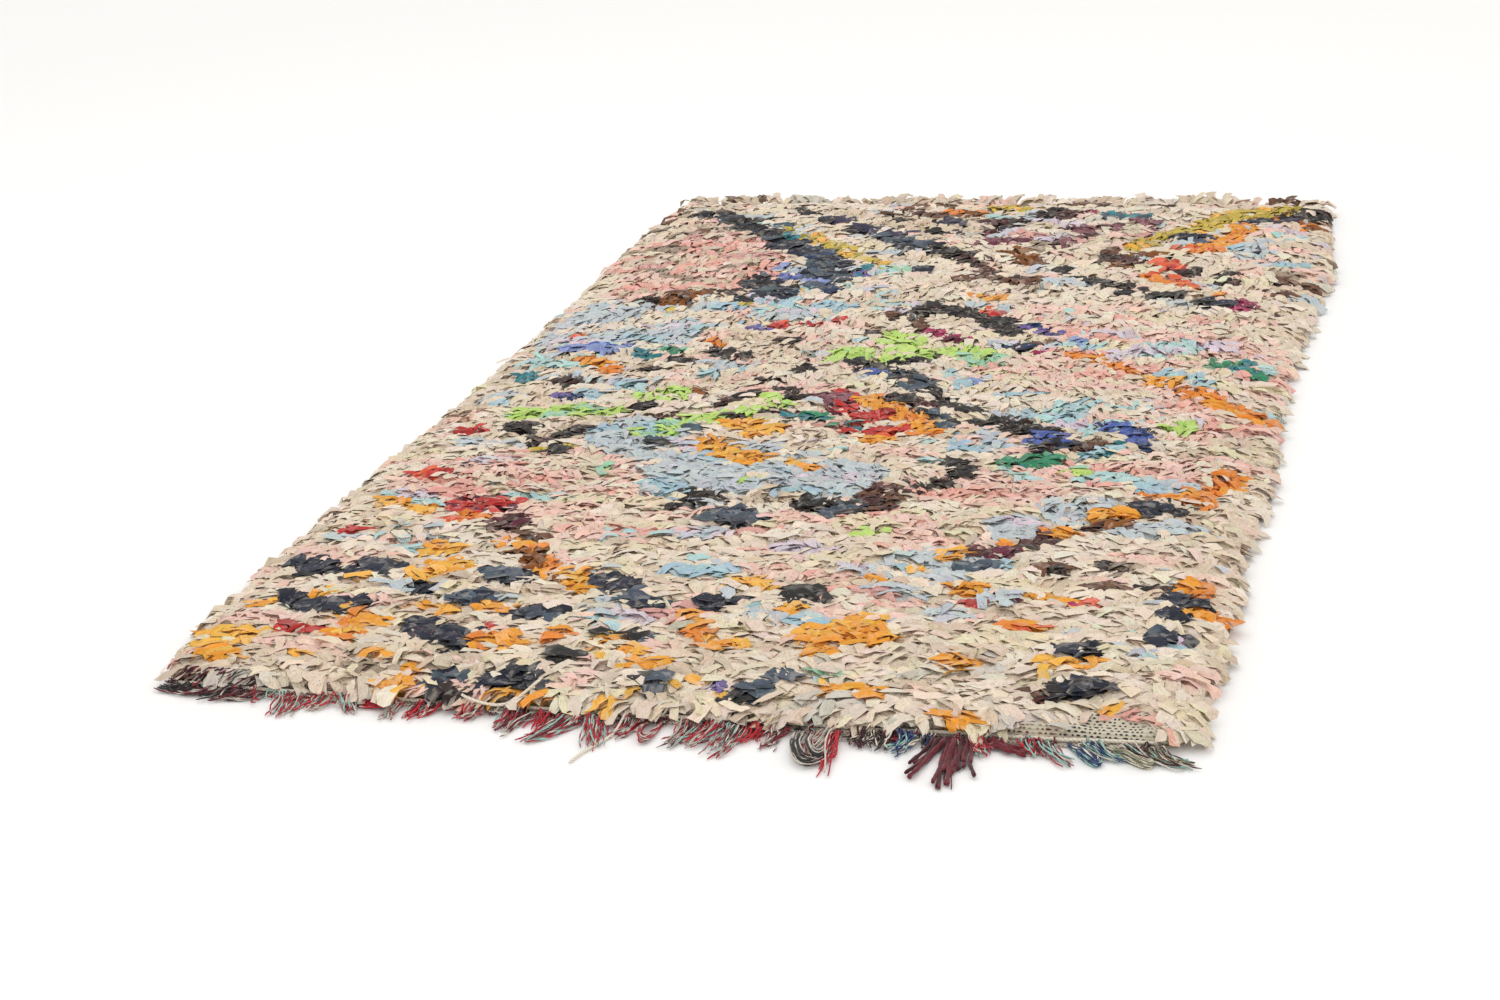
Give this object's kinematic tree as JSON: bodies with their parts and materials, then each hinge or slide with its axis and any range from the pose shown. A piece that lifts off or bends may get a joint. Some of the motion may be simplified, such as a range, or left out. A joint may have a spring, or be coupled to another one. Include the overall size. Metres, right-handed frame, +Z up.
{
  "type": "boucherouite rug",
  "caption": "Flat rectangular shaggy rug of knotted cloth strips, with a woven end band, loose warp fringe and a cord laid along it.",
  "frame": {"origin": "middle of the ground cloth's flat underside, on the floor", "axes": "+X to the right across the rug, +Y from the fringed end to the plain end, +Z up"},
  "size_m": [1.5015, 2.6724, 0.0424],
  "materials": {
    "rag_cloth": "matt torn cotton and wool strips",
    "warp_yarn": "matt twisted wool yarn",
    "cotton_cord": "matt twisted cotton"
  },
  "bodies": {
    "root": {"rag_field": "rag_cloth", "warp_fringe": "warp_yarn", "edge_cord": "cotton_cord"}
  },
  "joints": []
}
